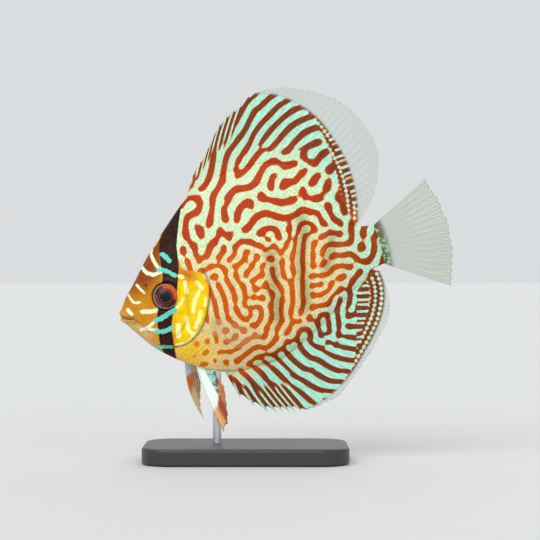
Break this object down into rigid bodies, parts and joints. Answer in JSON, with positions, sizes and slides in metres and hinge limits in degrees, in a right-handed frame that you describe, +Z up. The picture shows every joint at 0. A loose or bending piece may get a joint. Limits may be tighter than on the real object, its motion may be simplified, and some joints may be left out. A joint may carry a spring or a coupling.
{
  "type": "discus fish",
  "caption": "Discus fish as a life-size still model, disc-shaped body with tall fins fanned by fine rays, head tilted down, held by a rod on a flat base",
  "frame": {"origin": "middle of the underside of the stand's base, on the surface it stands on", "axes": "+Z up, the fish faces -X, its left side faces -Y, its thin direction is along Y"},
  "size_m": [0.1564, 0.06, 0.1758],
  "materials": {
    "skin": "satin, moist scaled skin",
    "eye": "glossy",
    "fin": "satin membrane on fine rays",
    "clear_fin": "clear membrane on fine rays",
    "stand_plate": "matte",
    "stand_metal": "brushed"
  },
  "bodies": {
    "root": {"head": "skin", "torso": "skin", "tail_stalk": "skin", "gill_cover_left": "skin", "gill_cover_right": "skin", "eye_left": "eye", "eye_right": "eye", "dorsal_fin": "fin", "anal_fin": "fin", "tail_fin": "clear_fin", "pectoral_fin_left": "clear_fin", "pectoral_fin_right": "clear_fin", "pelvic_fin_left": "fin", "pelvic_fin_right": "fin", "stand_base": "stand_plate", "stand_rod": "stand_metal"}
  },
  "joints": []
}
